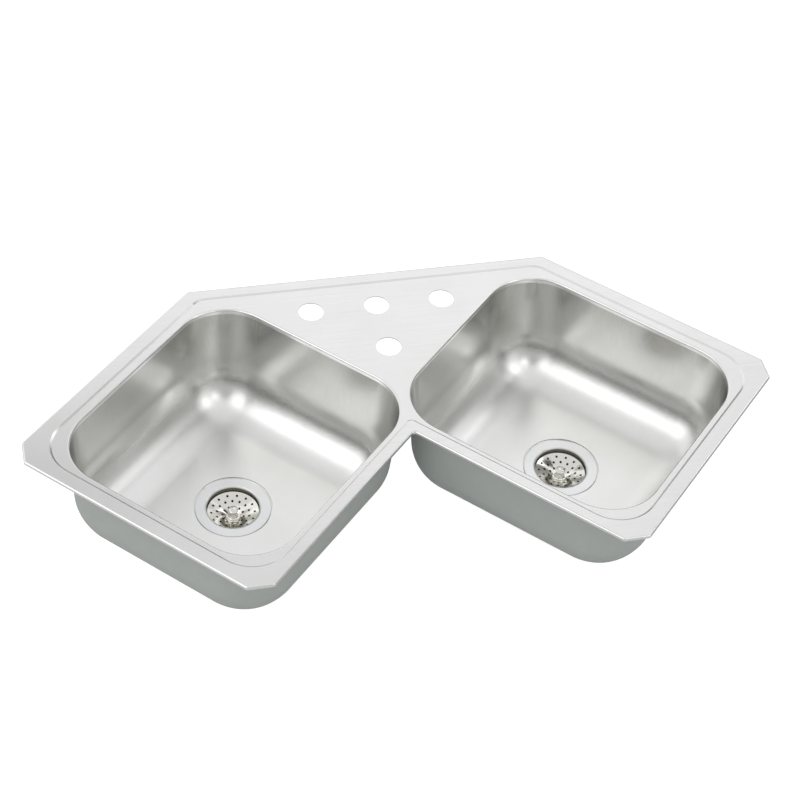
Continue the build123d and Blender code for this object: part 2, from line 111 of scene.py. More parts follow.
def linear(code: str) -> tuple[float, float, float, float]:
    """Turn an sRGB hex colour into linear RGBA.

    Args:
        code: Six hex digits after a hash.

    Returns:
        Red, green, blue and alpha, from 0 to 1.
    """
    toe, slope, lift, power = 0.04045, 12.92, 0.055, 2.4
    channels = [int(code[i : i + 2], 16) / 255 for i in (1, 3, 5)]
    rgb = [c / slope if c <= toe else ((c + lift) / (1 + lift)) ** power for c in channels]
    return rgb[0], rgb[1], rgb[2], 1.0


def add_node(tree: Tree, kind: str, sockets: dict | None = None, **settings) -> Node:
    """Add one shader node with its settings and links.

    Args:
        tree: Node tree that takes the node.
        kind: Blender's name of the node, without ShaderNode.
        sockets: Input name or number to a plain value, or to the output socket that feeds it.
        settings: Attributes of the node, such as its operation.

    Returns:
        The new node.
    """
    node = tree.nodes.new(f"ShaderNode{kind}")
    for name, value in settings.items():
        setattr(node, name, value)
    for name, value in (sockets or {}).items():
        if isinstance(value, Socket):
            tree.links.new(value, node.inputs[name])
        else:
            node.inputs[name].default_value = value
    return node


def per_mm(spacing: float) -> float:
    """Noise scale whose features are about this many millimetres apart.

    Args:
        spacing: Distance in millimetres.

    Returns:
        The scale, per metre.
    """
    return 1 / (spacing * MM)


def noise(tree: Tree, place: Socket, scale: float, detail: float) -> Socket:
    """Add a smooth random pattern.

    Args:
        tree: Node tree that takes it.
        place: Where each point of the surface lies.
        scale: Features per metre.
        detail: How many finer octaves it has.

    Returns:
        The pattern, from 0 to 1.
    """
    return add_node(tree, "TexNoise", {"Vector": place, "Scale": scale, "Detail": detail}).outputs[0]


def combined(tree: Tree, operation: str, *values: Socket | float) -> Socket:
    """Combine numbers or patterns by one of Blender's Math operations.

    Args:
        tree: Node tree that takes the node.
        operation: Name of the operation, such as MULTIPLY.
        values: What it works on, in order.

    Returns:
        The result.
    """
    return add_node(tree, "Math", dict(enumerate(values)), operation=operation).outputs[0]


def remapped(tree: Tree, value: Socket, source: Pair, target: Pair) -> Socket:
    """Map one range on to another, and hold the value at the ends.

    Args:
        tree: Node tree that takes the node.
        value: What is mapped.
        source: The value's own range.
        target: The range that it gets.

    Returns:
        The mapped value.
    """
    # The ends of both ranges are the node's inputs 1 to 4
    ends = dict(enumerate((*source, *target), start=1))
    return add_node(tree, "MapRange", {0: value, **ends}).outputs[0]


def height_of(tree: Tree, place: Socket) -> Socket:
    """Height of each point of the surface.

    Args:
        tree: Node tree that takes the node.
        place: Where each point lies.

    Returns:
        The point's Z.
    """
    return add_node(tree, "SeparateXYZ", {0: place}).outputs[2]


# ---------------------------------------------------------------- finishes

@dataclass(frozen=True)
class Finish:
    """A finish: its name, colour and gloss, and the pattern that its maker leaves on it."""

    name: str
    colour: str
    roughness: float
    metallic: float = 0.0

    def material(self) -> Material:
        """Build the material.

        Returns:
            The material, with this finish's own pattern on its shader.
        """
        made = bpy.data.materials.new(self.name)
        made.use_nodes = True
        tree = made.node_tree
        shader = tree.nodes["Principled BSDF"]
        shader.inputs["Base Color"].default_value = linear(self.colour)
        shader.inputs["Roughness"].default_value = self.roughness
        shader.inputs["Metallic"].default_value = self.metallic
        place = add_node(tree, "TexCoord").outputs["Object"]
        self.pattern(tree, shader, place)
        return made

    def pattern(self, tree: Tree, shader: Node, place: Socket) -> None:
        """Add the finish's own pattern; each kind of finish has one.

        Args:
            tree: The material's nodes.
            shader: Its main shader.
            place: Where each point of the surface lies.
        """
        raise NotImplementedError

    def tint(self, tree: Tree, shader: Node, mask: Socket, other: str) -> None:
        """Vary the colour between the finish's own and another.

        Args:
            tree: The material's nodes.
            shader: Its main shader.
            mask: 0 for the own colour and 1 for the other.
            other: sRGB hex of the other colour.
        """
        # The Mix node has its two colours at inputs 6 and 7, and the mixed one at output 2
        colours = {"Factor": mask, 6: linear(self.colour), 7: linear(other)}
        mixed = add_node(tree, "Mix", colours, data_type="RGBA")
        tree.links.new(mixed.outputs[2], shader.inputs["Base Color"])

    def gloss(self, tree: Tree, shader: Node, mask: Socket, spread: float) -> None:
        """Vary the roughness to both sides of the finish's own.

        Args:
            tree: The material's nodes.
            shader: Its main shader.
            mask: 0 for the smoothest places and 1 for the roughest.
            spread: How far the roughness goes to either side.
        """
        ends = (self.roughness - spread, self.roughness + spread)
        tree.links.new(remapped(tree, mask, (0, 1), ends), shader.inputs["Roughness"])

    def relief(self, tree: Tree, shader: Node, height: Socket, depth_mm: float) -> None:
        """Raise the surface by a pattern.

        Args:
            tree: The material's nodes.
            shader: Its main shader.
            height: The pattern, from 0 to 1.
            depth_mm: How high it stands, in millimetres.
        """
        bump = add_node(tree, "Bump", {"Height": height, "Strength": 1.0, "Distance": depth_mm * MM})
        tree.links.new(bump.outputs[0], shader.inputs["Normal"])


@dataclass(frozen=True)
class BrushedSheet(Finish):
    """Stainless sheet brushed by a belt: long straight lines one way, which soften what it mirrors."""

    line_spacing_mm: float = 1.6
    line_length_mm: float = 160.0
    turn_degrees: float = 45.0
    cloud_mm: float = 90.0
    depth_mm: float = 0.0015
    spread: float = 0.05
    worn: str = "#dfdfde"

    def pattern(self, tree: Tree, shader: Node, place: Socket) -> None:
        """Noise drawn out along the brushing, and slow clouds of gloss from the belt's passes."""
        along = per_mm(self.line_length_mm)
        across = per_mm(self.line_spacing_mm)
        turn = (0, 0, -math.radians(self.turn_degrees))
        turned = add_node(tree, "Mapping", {"Vector": place, "Rotation": turn}).outputs[0]
        drawn = add_node(tree, "Mapping", {"Vector": turned, "Scale": (along, across, across)}).outputs[0]
        lines = noise(tree, drawn, scale=1.0, detail=4.0)
        clouds = noise(tree, place, scale=per_mm(self.cloud_mm), detail=2.0)
        self.tint(tree, shader, combined(tree, "MULTIPLY", lines, clouds), self.worn)
        self.gloss(tree, shader, lines, self.spread)
        self.relief(tree, shader, lines, self.depth_mm)


@dataclass(frozen=True, kw_only=True)
class DrawnSheet(Finish):
    """Stainless drawn into a vessel: a bright, even satin level face, and stretched walls darkened by painted
    shade.
    """

    level_mm: float
    wall_mm: float
    wall_roughness: float
    # Second colour: mixed in at random by the clouds, and towards the walls as painted shade
    worn: str
    stroke_mm: float
    depth_mm: float
    stretch: float = 14.0
    cloud_mm: float = 70.0
    cloud_share: float = 0.5
    # Share of the second colour that the walls get as painted shade
    painted_shade_share: float = 0.8

    def pattern(self, tree: Tree, shader: Node, place: Socket) -> None:
        """Upright strokes and soft clouds; gloss changes from the level face to the walls, and painted shade
        darkens the colour towards them.
        """
        across = per_mm(self.stroke_mm)
        scale = (across, across, across / self.stretch)
        drawn = add_node(tree, "Mapping", {"Vector": place, "Scale": scale}).outputs[0]
        strokes = noise(tree, drawn, scale=1.0, detail=5.0)
        clouds = noise(tree, place, scale=per_mm(self.cloud_mm), detail=3.0)
        both = combined(tree, "MULTIPLY", strokes, clouds)
        height = height_of(tree, place)
        rise = (self.level_mm * MM, self.wall_mm * MM)
        # Painted shade: the colour darkens from the level face's height to the walls' height
        wall = remapped(tree, height, rise, (0, self.painted_shade_share))
        shade = combined(tree, "MULTIPLY_ADD", both, self.cloud_share, wall)
        self.tint(tree, shader, shade, self.worn)
        gloss = remapped(tree, height, rise, (self.roughness, self.wall_roughness))
        tree.links.new(gloss, shader.inputs["Roughness"])
        self.relief(tree, shader, strokes, self.depth_mm)


@dataclass(frozen=True, kw_only=True)
class TurnedMetal(Finish):
    """Metal turned or polished on a lathe: faint rings round its own axis."""

    axis_at: Pair
    worn: str
    ring_mm: float
    depth_mm: float
    cloud_mm: float = 9.0
    spread: float = 0.03

    def pattern(self, tree: Tree, shader: Node, place: Socket) -> None:
        """Noise that changes with the distance from the axis and with height, but not round the piece."""
        x, y = self.axis_at
        centred = add_node(tree, "Mapping", {"Vector": place, "Location": (-x, -y, 0)})
        flat = add_node(tree, "VectorMath", {0: centred.outputs[0], 1: (1, 1, 0)}, operation="MULTIPLY")
        radius = add_node(tree, "VectorMath", {0: flat.outputs[0]}, operation="LENGTH")
        point = add_node(tree, "CombineXYZ", {0: radius.outputs["Value"], 1: height_of(tree, place)})
        rings = noise(tree, point.outputs[0], scale=per_mm(self.ring_mm), detail=3.0)
        clouds = noise(tree, place, scale=per_mm(self.cloud_mm), detail=3.0)
        self.tint(tree, shader, combined(tree, "MULTIPLY", rings, clouds), self.worn)
        self.gloss(tree, shader, clouds, self.spread)
        self.relief(tree, shader, rings, self.depth_mm)


@dataclass(frozen=True, kw_only=True)
class Grained(Finish):
    """A cast, sprayed, moulded or pressed surface: grains of one size, with a second colour between."""

    grain_mm: float
    depth_mm: float
    second: str
    grains_per_cloud: float = 14.0
    spread: float = 0.06

    def pattern(self, tree: Tree, shader: Node, place: Socket) -> None:
        """Grain for relief and gloss, and slower clouds of the second colour."""
        cloud_mm = self.grain_mm * self.grains_per_cloud
        grain = noise(tree, place, scale=per_mm(self.grain_mm), detail=3.0)
        clouds = noise(tree, place, scale=per_mm(cloud_mm), detail=4.0)
        self.tint(tree, shader, combined(tree, "MULTIPLY", grain, clouds), self.second)
        self.gloss(tree, shader, grain, self.spread)
        self.relief(tree, shader, grain, self.depth_mm)


@dataclass(frozen=True)
class ZincSpangle(Finish):
    """Hot-dipped zinc on steel strip: flat crystals a few millimetres across, each with its own gloss."""

    crystal_mm: float = 4.0
    depth_mm: float = 0.004
    spread: float = 0.08
    dull: str = "#8f9496"

    def pattern(self, tree: Tree, shader: Node, place: Socket) -> None:
        """One random value for each crystal, on colour and gloss."""
        cells = add_node(tree, "TexVoronoi", {"Vector": place, "Scale": per_mm(self.crystal_mm)})
        value = add_node(tree, "SeparateColor", {0: cells.outputs["Color"]})
        self.tint(tree, shader, value.outputs[0], self.dull)
        self.gloss(tree, shader, value.outputs[1], self.spread)
        self.relief(tree, shader, value.outputs[2], self.depth_mm)


# 304 stainless sheet, belt-brushed: pale, and soft in what it mirrors
DECK_STEEL = BrushedSheet("brushed_stainless_deck", "#f3f3f3", 0.25, 1.0)
# The same sheet, deep drawn and buffed: bright satin floor; walls smoother, and darker by painted shade
BOWL_STEEL = DrawnSheet(
    "drawn_stainless_bowl",
    "#fdfdfd",
    0.34,
    1.0,
    level_mm=-173.0,
    wall_mm=-95.0,
    wall_roughness=0.20,
    # Painted shade: the walls darken to this grey as they rise
    worn="#c3c3bf",
    stroke_mm=1.4,
    depth_mm=0.003,
)
# Strainer flange: fine satin, a little cooler than the bowl; rougher and in painted shade down in the well
FLANGE_STEEL = DrawnSheet(
    "satin_stainless_strainer",
    "#fafbfd",
    0.30,
    1.0,
    level_mm=-175.9,
    wall_mm=-177.4,
    wall_roughness=0.34,
    # Painted shade: the well darkens to this khaki below the flange
    worn="#827f71",
    stroke_mm=0.9,
    depth_mm=0.002,
)
# Sprayed anti-drip undercoat: matt grey with a fine stipple
UNDERCOAT = Grained("sprayed_undercoat", "#b2b7b4", 0.78, grain_mm=1.6, depth_mm=0.10, second="#a3a8a5")
# Bitumen-rubber pad: nearly black and matt, with a leathery grain
PAD_RUBBER = Grained("bitumen_rubber_pad", "#2c2c2e", 0.85, grain_mm=2.5, depth_mm=0.15, second="#3a3a3b")
# Moulded nitrile rubber: black with a slight sheen
SOFT_RUBBER = Grained(
    "moulded_nitrile_rubber", "#161616", 0.55, grain_mm=0.8, depth_mm=0.02, second="#232323"
)
# Pressed fibre: brown board with a fine felted grain
FIBRE = Grained("pressed_fibre_ring", "#7a6450", 0.9, grain_mm=0.7, depth_mm=0.04, second="#5f4c3b")
# Plumber's putty: pale, soft and slightly greasy
PUTTY = Grained("plumbers_putty", "#b9b2a2", 0.6, grain_mm=2.0, depth_mm=0.08, second="#a39c8c")
# Polyethylene washer: milky and waxy
WASHER = Grained("polyethylene_washer", "#e2e1dc", 0.42, grain_mm=1.2, depth_mm=0.01, second="#d3d2cc")
# Die-cast zinc: dull grey skin with a faint flow pattern
CAST_ZINC = Grained("die_cast_zinc", "#a9abad", 0.42, 1.0, grain_mm=1.4, depth_mm=0.03, second="#8c8e91")
# Galvanised steel strip
GALVANISED = ZincSpangle("galvanised_strip", "#c3c7c9", 0.38, 1.0)


# ---------------------------------------------------------------- modelling helpers

def deselect() -> None:
    """Deselect every object, so that an operator acts on the new primitive alone."""
    bpy.ops.object.select_all(action="DESELECT")


def make_active(piece: Piece) -> None:
    """Select one piece alone and make it active.

    Args:
        piece: The piece, in object mode.
    """
    deselect()
    piece.select_set(True)
    bpy.context.view_layer.objects.active = piece


def start_piece(name: str) -> Piece:
    """Name the primitive that was just added and open it in edit mode.

    Args:
        name: The piece's plain name.

    Returns:
        The active object.
    """
    piece = bpy.context.object
    piece.name = name
    piece.data.name = name
    bpy.ops.object.mode_set(mode="EDIT")
    bpy.ops.mesh.select_mode(type="VERT")
    return piece


def copy_piece(piece: Piece, name: str) -> Piece:
    """Copy a piece with its own mesh, select the copy alone and make it active.

    Args:
        piece: What is copied.
        name: The copy's name.

    Returns:
        The copy.
    """
    other = bpy.data.objects.new(name, piece.data.copy())
    bpy.context.scene.collection.objects.link(other)
    make_active(other)
    return other


def pick(piece: Piece, kind: str, wanted: Callable[..., bool]) -> None:
    """Select a piece's faces or edges by a test, in edit mode.

    Args:
        piece: The piece in edit mode.
        kind: FACE or EDGE.
        wanted: Takes a face or an edge of the piece's mesh, and says whether it is selected.
    """
    bpy.ops.mesh.select_mode(type=kind)
    bpy.ops.mesh.select_all(action="DESELECT")
    bpy.ops.object.mode_set(mode="OBJECT")
    mesh = piece.data
    for item in mesh.polygons if kind == "FACE" else mesh.edges:
        if wanted(item):
            item.select = True
    bpy.ops.object.mode_set(mode="EDIT")


def apply_modifier(piece: Piece, kind: str, **settings) -> None:
    """Add a modifier to a piece and apply it at once.

    Args:
        piece: The piece, in object mode.
        kind: Blender's modifier type.
        settings: The modifier's settings.
    """
    modifier = piece.modifiers.new(kind.lower(), kind)
    for name, value in settings.items():
        setattr(modifier, name, value)
    bpy.context.view_layer.objects.active = piece
    bpy.ops.object.modifier_apply(modifier=modifier.name)


def combine(piece: Piece, tool: Piece, operation: str) -> None:
    """Join or trim a piece with a tool, and delete the tool.

    Args:
        piece: The piece that stays.
        tool: The closed shape that works on it.
        operation: UNION or INTERSECT.
    """
    apply_modifier(piece, "BOOLEAN", operation=operation, solver="EXACT", object=tool)
    bpy.data.objects.remove(tool)


def close_piece(piece: Piece, smooth_degrees: float = 30.0) -> Piece:
    """Merge doubles, turn the faces outwards, set the object at the origin and shade it.

    Args:
        piece: The piece, in either mode.
        smooth_degrees: Edges sharper than this stay sharp.

    Returns:
        The same piece.
    """
    bpy.ops.object.mode_set(mode="OBJECT")
    make_active(piece)
    bpy.ops.object.transform_apply(location=True, rotation=True, scale=True)
    bpy.ops.object.mode_set(mode="EDIT")
    bpy.ops.mesh.select_all(action="SELECT")
    bpy.ops.mesh.remove_doubles(threshold=HAIR)
    bpy.ops.mesh.normals_make_consistent(inside=False)
    bpy.ops.object.mode_set(mode="OBJECT")
    bpy.ops.object.shade_smooth_by_angle(angle=math.radians(smooth_degrees))
    return piece


def arc(centre: Pair, radius: float, start: float, end: float, steps: int = 6) -> list[Pair]:
    """Points of a profile's round stretch.

    Args:
        centre: Distance from the axis, and height.
        radius: Radius of the round.
        start: First angle in degrees, from straight outwards.
        end: Last angle in degrees.
        steps: Straight pieces in the round.

    Returns:
        (distance, height) points, ends included.
    """
    angles = [math.radians(start + (end - start) * i / steps) for i in range(steps + 1)]
    return [(centre[0] + radius * math.cos(a), centre[1] + radius * math.sin(a)) for a in angles]


def draw_line(name: str, axis: Vector, profile: Sequence[Pair], closed: bool) -> Piece:
    """Draw a profile as a chain of edges beside an upright axis, and stay in edit mode.

    Args:
        name: The piece's plain name.
        axis: Any point of the axis, where the object's own origin goes.
        profile: (distance from the axis, height) points in metres.
        closed: True if the last point joins the first.

    Returns:
        The piece, with the chain selected.
    """
    deselect()
    points = [Vector((axis.x + radius, axis.y, height)) for radius, height in profile]
    bpy.ops.mesh.primitive_plane_add(size=MM, location=(axis.x, axis.y, 0))
    piece = start_piece(name)
    bpy.ops.mesh.merge(type="CENTER")
    bpy.ops.transform.translate(value=points[0] - Vector((axis.x, axis.y, 0)))
    runs = zip(points, points[1:] + points[:1] if closed else points[1:])
    for here, there in runs:
        bpy.ops.mesh.extrude_region_move(TRANSFORM_OT_translate={"value": there - here})
    bpy.ops.mesh.select_all(action="SELECT")
    bpy.ops.mesh.remove_doubles(threshold=HAIR)
    return piece


def lathe(name: str, axis: Vector, profile: Sequence[Pair], sides: int = 72, closed: bool = True) -> Piece:
    """Turn a profile round an upright axis, as on a lathe.

    Args:
        name: The piece's plain name.
        axis: Any point of the axis.
        profile: (distance from the axis, height) points in metres.
        sides: Straight pieces round the axis.
        closed: True for a ring, False for a profile that starts and ends on the axis.

    Returns:
        The finished piece.
    """
    piece = draw_line(name, axis, profile, closed)
    bpy.ops.mesh.spin(steps=sides, angle=math.tau, center=(axis.x, axis.y, 0), axis=(0, 0, 1))
    return close_piece(piece)


def ring_of(piece: Piece, axis: Vector, count: int) -> list[Piece]:
    """Repeat a piece round an upright axis.

    Args:
        piece: The first one, finished.
        axis: Any point of the axis.
        count: How many in all.

    Returns:
        All of them, each with its own mesh.
    """
    row = [piece]
    centre = (axis.x, axis.y, 0)
    for step in range(1, count):
        other = copy_piece(piece, piece.name)
        bpy.ops.transform.rotate(value=math.tau * step / count, orient_axis="Z", center_override=centre)
        row.append(close_piece(other))
    return row


def dress(piece: Piece, material: Material) -> None:
    """Give a piece one material all over.

    Args:
        piece: The piece.
        material: What it gets in place of any other.
    """
    piece.data.materials.clear()
    piece.data.materials.append(material)


def seat(piece: Piece, body: str, slot: str, material: Material, *stands_for: str) -> None:
    """Put a new piece on its body, with its finish, and hide what it stands for.

    Args:
        piece: The finished piece.
        body: CAD body that carries it.
        slot: The record's material slot; not used.
        material: Its finish.
        stands_for: CAD nodes that it replaces.
    """
    dress(piece, material)
    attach(piece, body)
    if stands_for:
        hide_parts(*stands_for)
    LOG.info("%s: %d faces, on %s", piece.name, len(piece.data.polygons), body)


def middle(node: str) -> Vector:
    """Middle of a CAD node's box at rest.

    Args:
        node: The node's name.

    Returns:
        The point halfway between the box's corners.
    """
    low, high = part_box(node)
    return (low + high) / 2


def levels(node: str) -> Pair:
    """Lowest and highest level of a CAD node at rest.

    Args:
        node: The node's name.

    Returns:
        Both heights in metres.
    """
    low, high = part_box(node)
    return low.z, high.z


# ---------------------------------------------------------------- deck and bowls

@dataclass
class Deck:
    """The pressed deck and the clip rails welded under its rim."""

    nodes: dict

    def build(self) -> None:
        """Dress the deck in brushed stainless and the rails in galvanised strip."""
        dress(self.nodes["deck"], DECK_STEEL.material())
        zinc = GALVANISED.material()
        for name, node in self.nodes.items():
            if name.endswith("_rail"):
                dress(node, zinc)
        LOG.info("deck and rails dressed")


@dataclass
class Bowl:
    """One drawn bowl with its undercoat and sound pad."""

    wing: Wing
    nodes: dict
    coat: float = 0.9 * MM
    coat_gap: float = 0.05 * MM
    up_limit: float = 0.5
    smooth_degrees: float = 40.0

    def undercoat(self) -> Piece:
        """Sprayed coat: the outside faces of the bowl's walls and rounds, lifted off and thickened.

        Returns:
            The finished coat, open under the flat of the floor.
        """
        bowl = self.nodes[self.wing.named("bowl")]
        inside = middle(bowl.name)
        _, floor_underside = levels(self.wing.named("sound_pad"))
        coat = copy_piece(bowl, self.wing.named("undercoat"))
        bpy.ops.object.mode_set(mode="EDIT")
        bpy.ops.mesh.select_all(action="SELECT")
        bpy.ops.mesh.remove_doubles(threshold=HAIR)

        def uncoated(face: bpy.types.MeshPolygon) -> bool:
            """Whether a face is the bowl's inside, a level top or the flat of the floor."""
            faces_in = face.normal.dot(face.center - inside) < 0
            faces_up = face.normal.z > self.up_limit
            return faces_in or faces_up or face.center.z < floor_underside + HAIR

        pick(coat, "FACE", uncoated)
        bpy.ops.mesh.delete(type="FACE")
        bpy.ops.mesh.select_all(action="SELECT")
        bpy.ops.transform.shrink_fatten(value=self.coat_gap)
        bpy.ops.object.mode_set(mode="OBJECT")
        apply_modifier(coat, "SOLIDIFY", thickness=self.coat, offset=1.0)
        return close_piece(coat, self.smooth_degrees)

    def build(self) -> None:
        """Dress the bowl and the pad, and spray the outside."""
        dress(self.nodes[self.wing.named("bowl")], BOWL_STEEL.material())
        dress(self.nodes[self.wing.named("sound_pad")], PAD_RUBBER.material())
        seat(self.undercoat(), SINK, "sink_steel", UNDERCOAT.material())
        LOG.info("%s bowl dressed", self.wing.value)


# ---------------------------------------------------------------- pieces of the strainer

@dataclass(frozen=True)
class Knob:
    """Turned knob with a flared foot, a waisted neck and a domed cap, bored for the stud."""

    height: float = 18.5 * MM
    radius: float = 7.6 * MM
    dome: float = 1.8 * MM
    edge: float = 1.5 * MM
    edge_end_degrees: float = 60.0
    neck_radius: float = 5.2 * MM
    foot_radius: float = 9.5 * MM
    foot_height: float = 1.4 * MM
    foot_lip: float = 0.3 * MM
    bore_radius: float = 3.2 * MM
    bore_depth: float = 8.0 * MM

    def model(self, name: str, axis: Vector, bottom: float) -> Piece:
        """Turn the knob.

        Args:
            name: The piece's name.
            axis: Any point of its axis.
            bottom: Level of the dish that it stands on.

        Returns:
            The finished knob.
        """
        top = bottom + self.height
        edge = self.edge
        rim = top - self.dome - edge * math.sin(math.radians(self.edge_end_degrees))
        chord = self.radius - edge / 2
        dome_radius = (chord**2 + self.dome**2) / (2 * self.dome)
        dome_start = math.degrees(math.acos(chord / dome_radius))
        foot = bottom + self.foot_height
        cove = self.foot_radius - self.neck_radius - self.foot_lip
        profile = [
            (0, bottom + self.bore_depth),
            (self.bore_radius, bottom + self.bore_depth),
            (self.bore_radius, bottom),
            (self.foot_radius, bottom),
            (self.foot_radius, bottom + self.foot_height / 2),
            *arc((self.foot_radius - self.foot_lip, foot + cove), cove, 270, 180),
            *arc((self.neck_radius + edge, rim - 2 * edge), edge, 180, 100, 5),
            *arc((self.radius - edge, rim), edge, -80, self.edge_end_degrees, 8),
            *arc((0, top - dome_radius), dome_radius, dome_start, 88, 8),
            (0, top),
        ]
        return lathe(name, axis, profile, closed=False)


@dataclass(frozen=True)
class LockNut:
    """Cast ring nut: a flange above a slimmer barrel, with rounded lugs to drive it by."""

    radius: float = 50.0 * MM
    bore: float = 42.1 * MM
    flange: float = 3.4 * MM
    barrel_step: float = 2.4 * MM
    round_off: float = 0.7 * MM
    lugs: int = 6
    lug_reach: float = 54.0 * MM
    lug_width: float = 9.0 * MM
    lug_bevel: float = 1.2 * MM

    def ring(self, name: str, axis: Vector, bottom: float, top: float) -> Piece:
        """Turn the ring, without lugs.

        Args:
            name: The piece's name.
            axis: Any point of its axis.
            bottom: Its lowest level.
            top: Its highest level.

        Returns:
            The finished ring.
        """
        round_off = self.round_off
        under_flange = top - self.flange
        barrel = self.radius - self.barrel_step
        profile = [
            (self.bore, top),
            (self.radius - round_off, top),
            (self.radius, top - round_off),
            (self.radius, under_flange + round_off),
            (self.radius - round_off, under_flange),
            (barrel, under_flange - round_off),
            (barrel, bottom + round_off),
            (barrel - round_off, bottom),
            (self.bore + round_off, bottom),
            (self.bore, bottom + round_off),
        ]
        return lathe(name, axis, profile)

    def lug(self, axis: Vector, bottom: float, top: float) -> Piece:
        """Block one lug out and round its outer edges.

        Args:
            axis: Any point of the nut's axis.
            bottom: The nut's lowest level.
            top: The nut's highest level.

        Returns:
            The finished lug, which reaches into the ring.
        """
        inner = self.radius - 2 * self.barrel_step
        place = Vector((axis.x + (inner + self.lug_reach) / 2, axis.y, (top + bottom) / 2))
        deselect()
        bpy.ops.mesh.primitive_cube_add(size=1, location=place)
        lug = start_piece("lug")
        size = (self.lug_reach - inner, self.lug_width, top - bottom)
        bpy.ops.transform.resize(value=size, center_override=place)

        def is_outer(edge: bpy.types.MeshEdge) -> bool:
            """Whether an edge lies in the outer half of the lug."""
            return all(lug.data.vertices[end].co.x > 0 for end in edge.vertices)

        pick(lug, "EDGE", is_outer)
        bpy.ops.mesh.bevel(offset=self.lug_bevel, segments=3)
        return close_piece(lug)

    def model(self, name: str, axis: Vector, bottom: float, top: float) -> Piece:
        """Cast the nut.

        Args:
            name: The piece's name.
            axis: Any point of its axis.
            bottom: Its lowest level.
            top: Its highest level.

        Returns:
            The finished nut.
        """
        nut = self.ring(name, axis, bottom, top)
        for lug in ring_of(self.lug(axis, bottom, top), axis, self.lugs):
            combine(nut, lug, "UNION")
        return close_piece(nut)


@dataclass(frozen=True)
class SlipNut:
    """Hexagonal slip nut with turned chamfers and an inner lip."""

    flats: float = 56.0 * MM
    bore: float = 23.7 * MM
    lip_bore: float = 19.7 * MM
    lip_height: float = 2.5 * MM
    chamfer: float = 3.0 * MM
    chamfer_angle: float = math.radians(30)
    margin: float = 1.0 * MM

    def model(self, name: str, axis: Vector, bottom: float, top: float, turn: float) -> Piece:
        """Turn the nut's round blank and trim it to a hexagon.

        Args:
            name: The piece's name.
            axis: Any point of its axis.
            bottom: Its lowest level.
            top: Its highest level.
            turn: Angle of the hexagon about the axis, in radians.

        Returns:
            The finished nut.
        """
        corner = self.flats / 2 / math.cos(HALF_SIDE)
        slope = self.chamfer * math.tan(self.chamfer_angle)
        blank = corner + self.margin
        profile = [
            (self.bore, top),
            (corner - self.chamfer, top),
            (blank, top - slope - self.margin),
            (blank, bottom + slope + self.margin),
            (corner - self.chamfer, bottom),
            (self.lip_bore, bottom),
            (self.lip_bore, bottom + self.lip_height),
            (self.bore, bottom + self.lip_height),
        ]
        nut = lathe(name, axis, profile)
        deselect()
        bpy.ops.mesh.primitive_cylinder_add(
            vertices=6,
            radius=corner,
            depth=top - bottom + 2 * self.margin,
            location=(axis.x, axis.y, (top + bottom) / 2),
            rotation=(0, 0, turn),
        )
        combine(nut, close_piece(start_piece("hexagon")), "INTERSECT")
        return close_piece(nut)


@dataclass(frozen=True)
class WellThread:
    """Screw thread on the well below the lock nut, its crests a little proud so that it shows."""

    radius: float = 42.3 * MM
    depth: float = 0.9 * MM
    pitch: float = 2.2 * MM
    flank_share: float = 0.44
    turns: int = 8
    sides: int = 64

    def model(self, name: str, axis: Vector, nut_bottom: float) -> Piece:
        """Wind the thread's ridge.

        Args:
            name: The piece's name.
            axis: Any point of its axis.
            nut_bottom: Lowest level of the lock nut.

        Returns:
            The finished ridge, capped at both ends.
        """
        root = self.radius - self.depth
        flank = self.pitch * self.flank_share
        start = nut_bottom - self.pitch * (self.turns + 1)
        profile = [(root, start - flank), (self.radius, start), (root, start + flank)]
        ridge = draw_line(name, axis, profile, closed=True)
        bpy.ops.object.mode_set(mode="OBJECT")
        winding = {"iterations": self.turns, "steps": self.sides, "render_steps": self.sides}
        apply_modifier(ridge, "SCREW", angle=math.tau, screw_offset=self.pitch, **winding)
        bpy.ops.object.mode_set(mode="EDIT")
        bpy.ops.mesh.select_all(action="SELECT")
        bpy.ops.mesh.fill_holes(sides=len(profile))
        return close_piece(ridge)


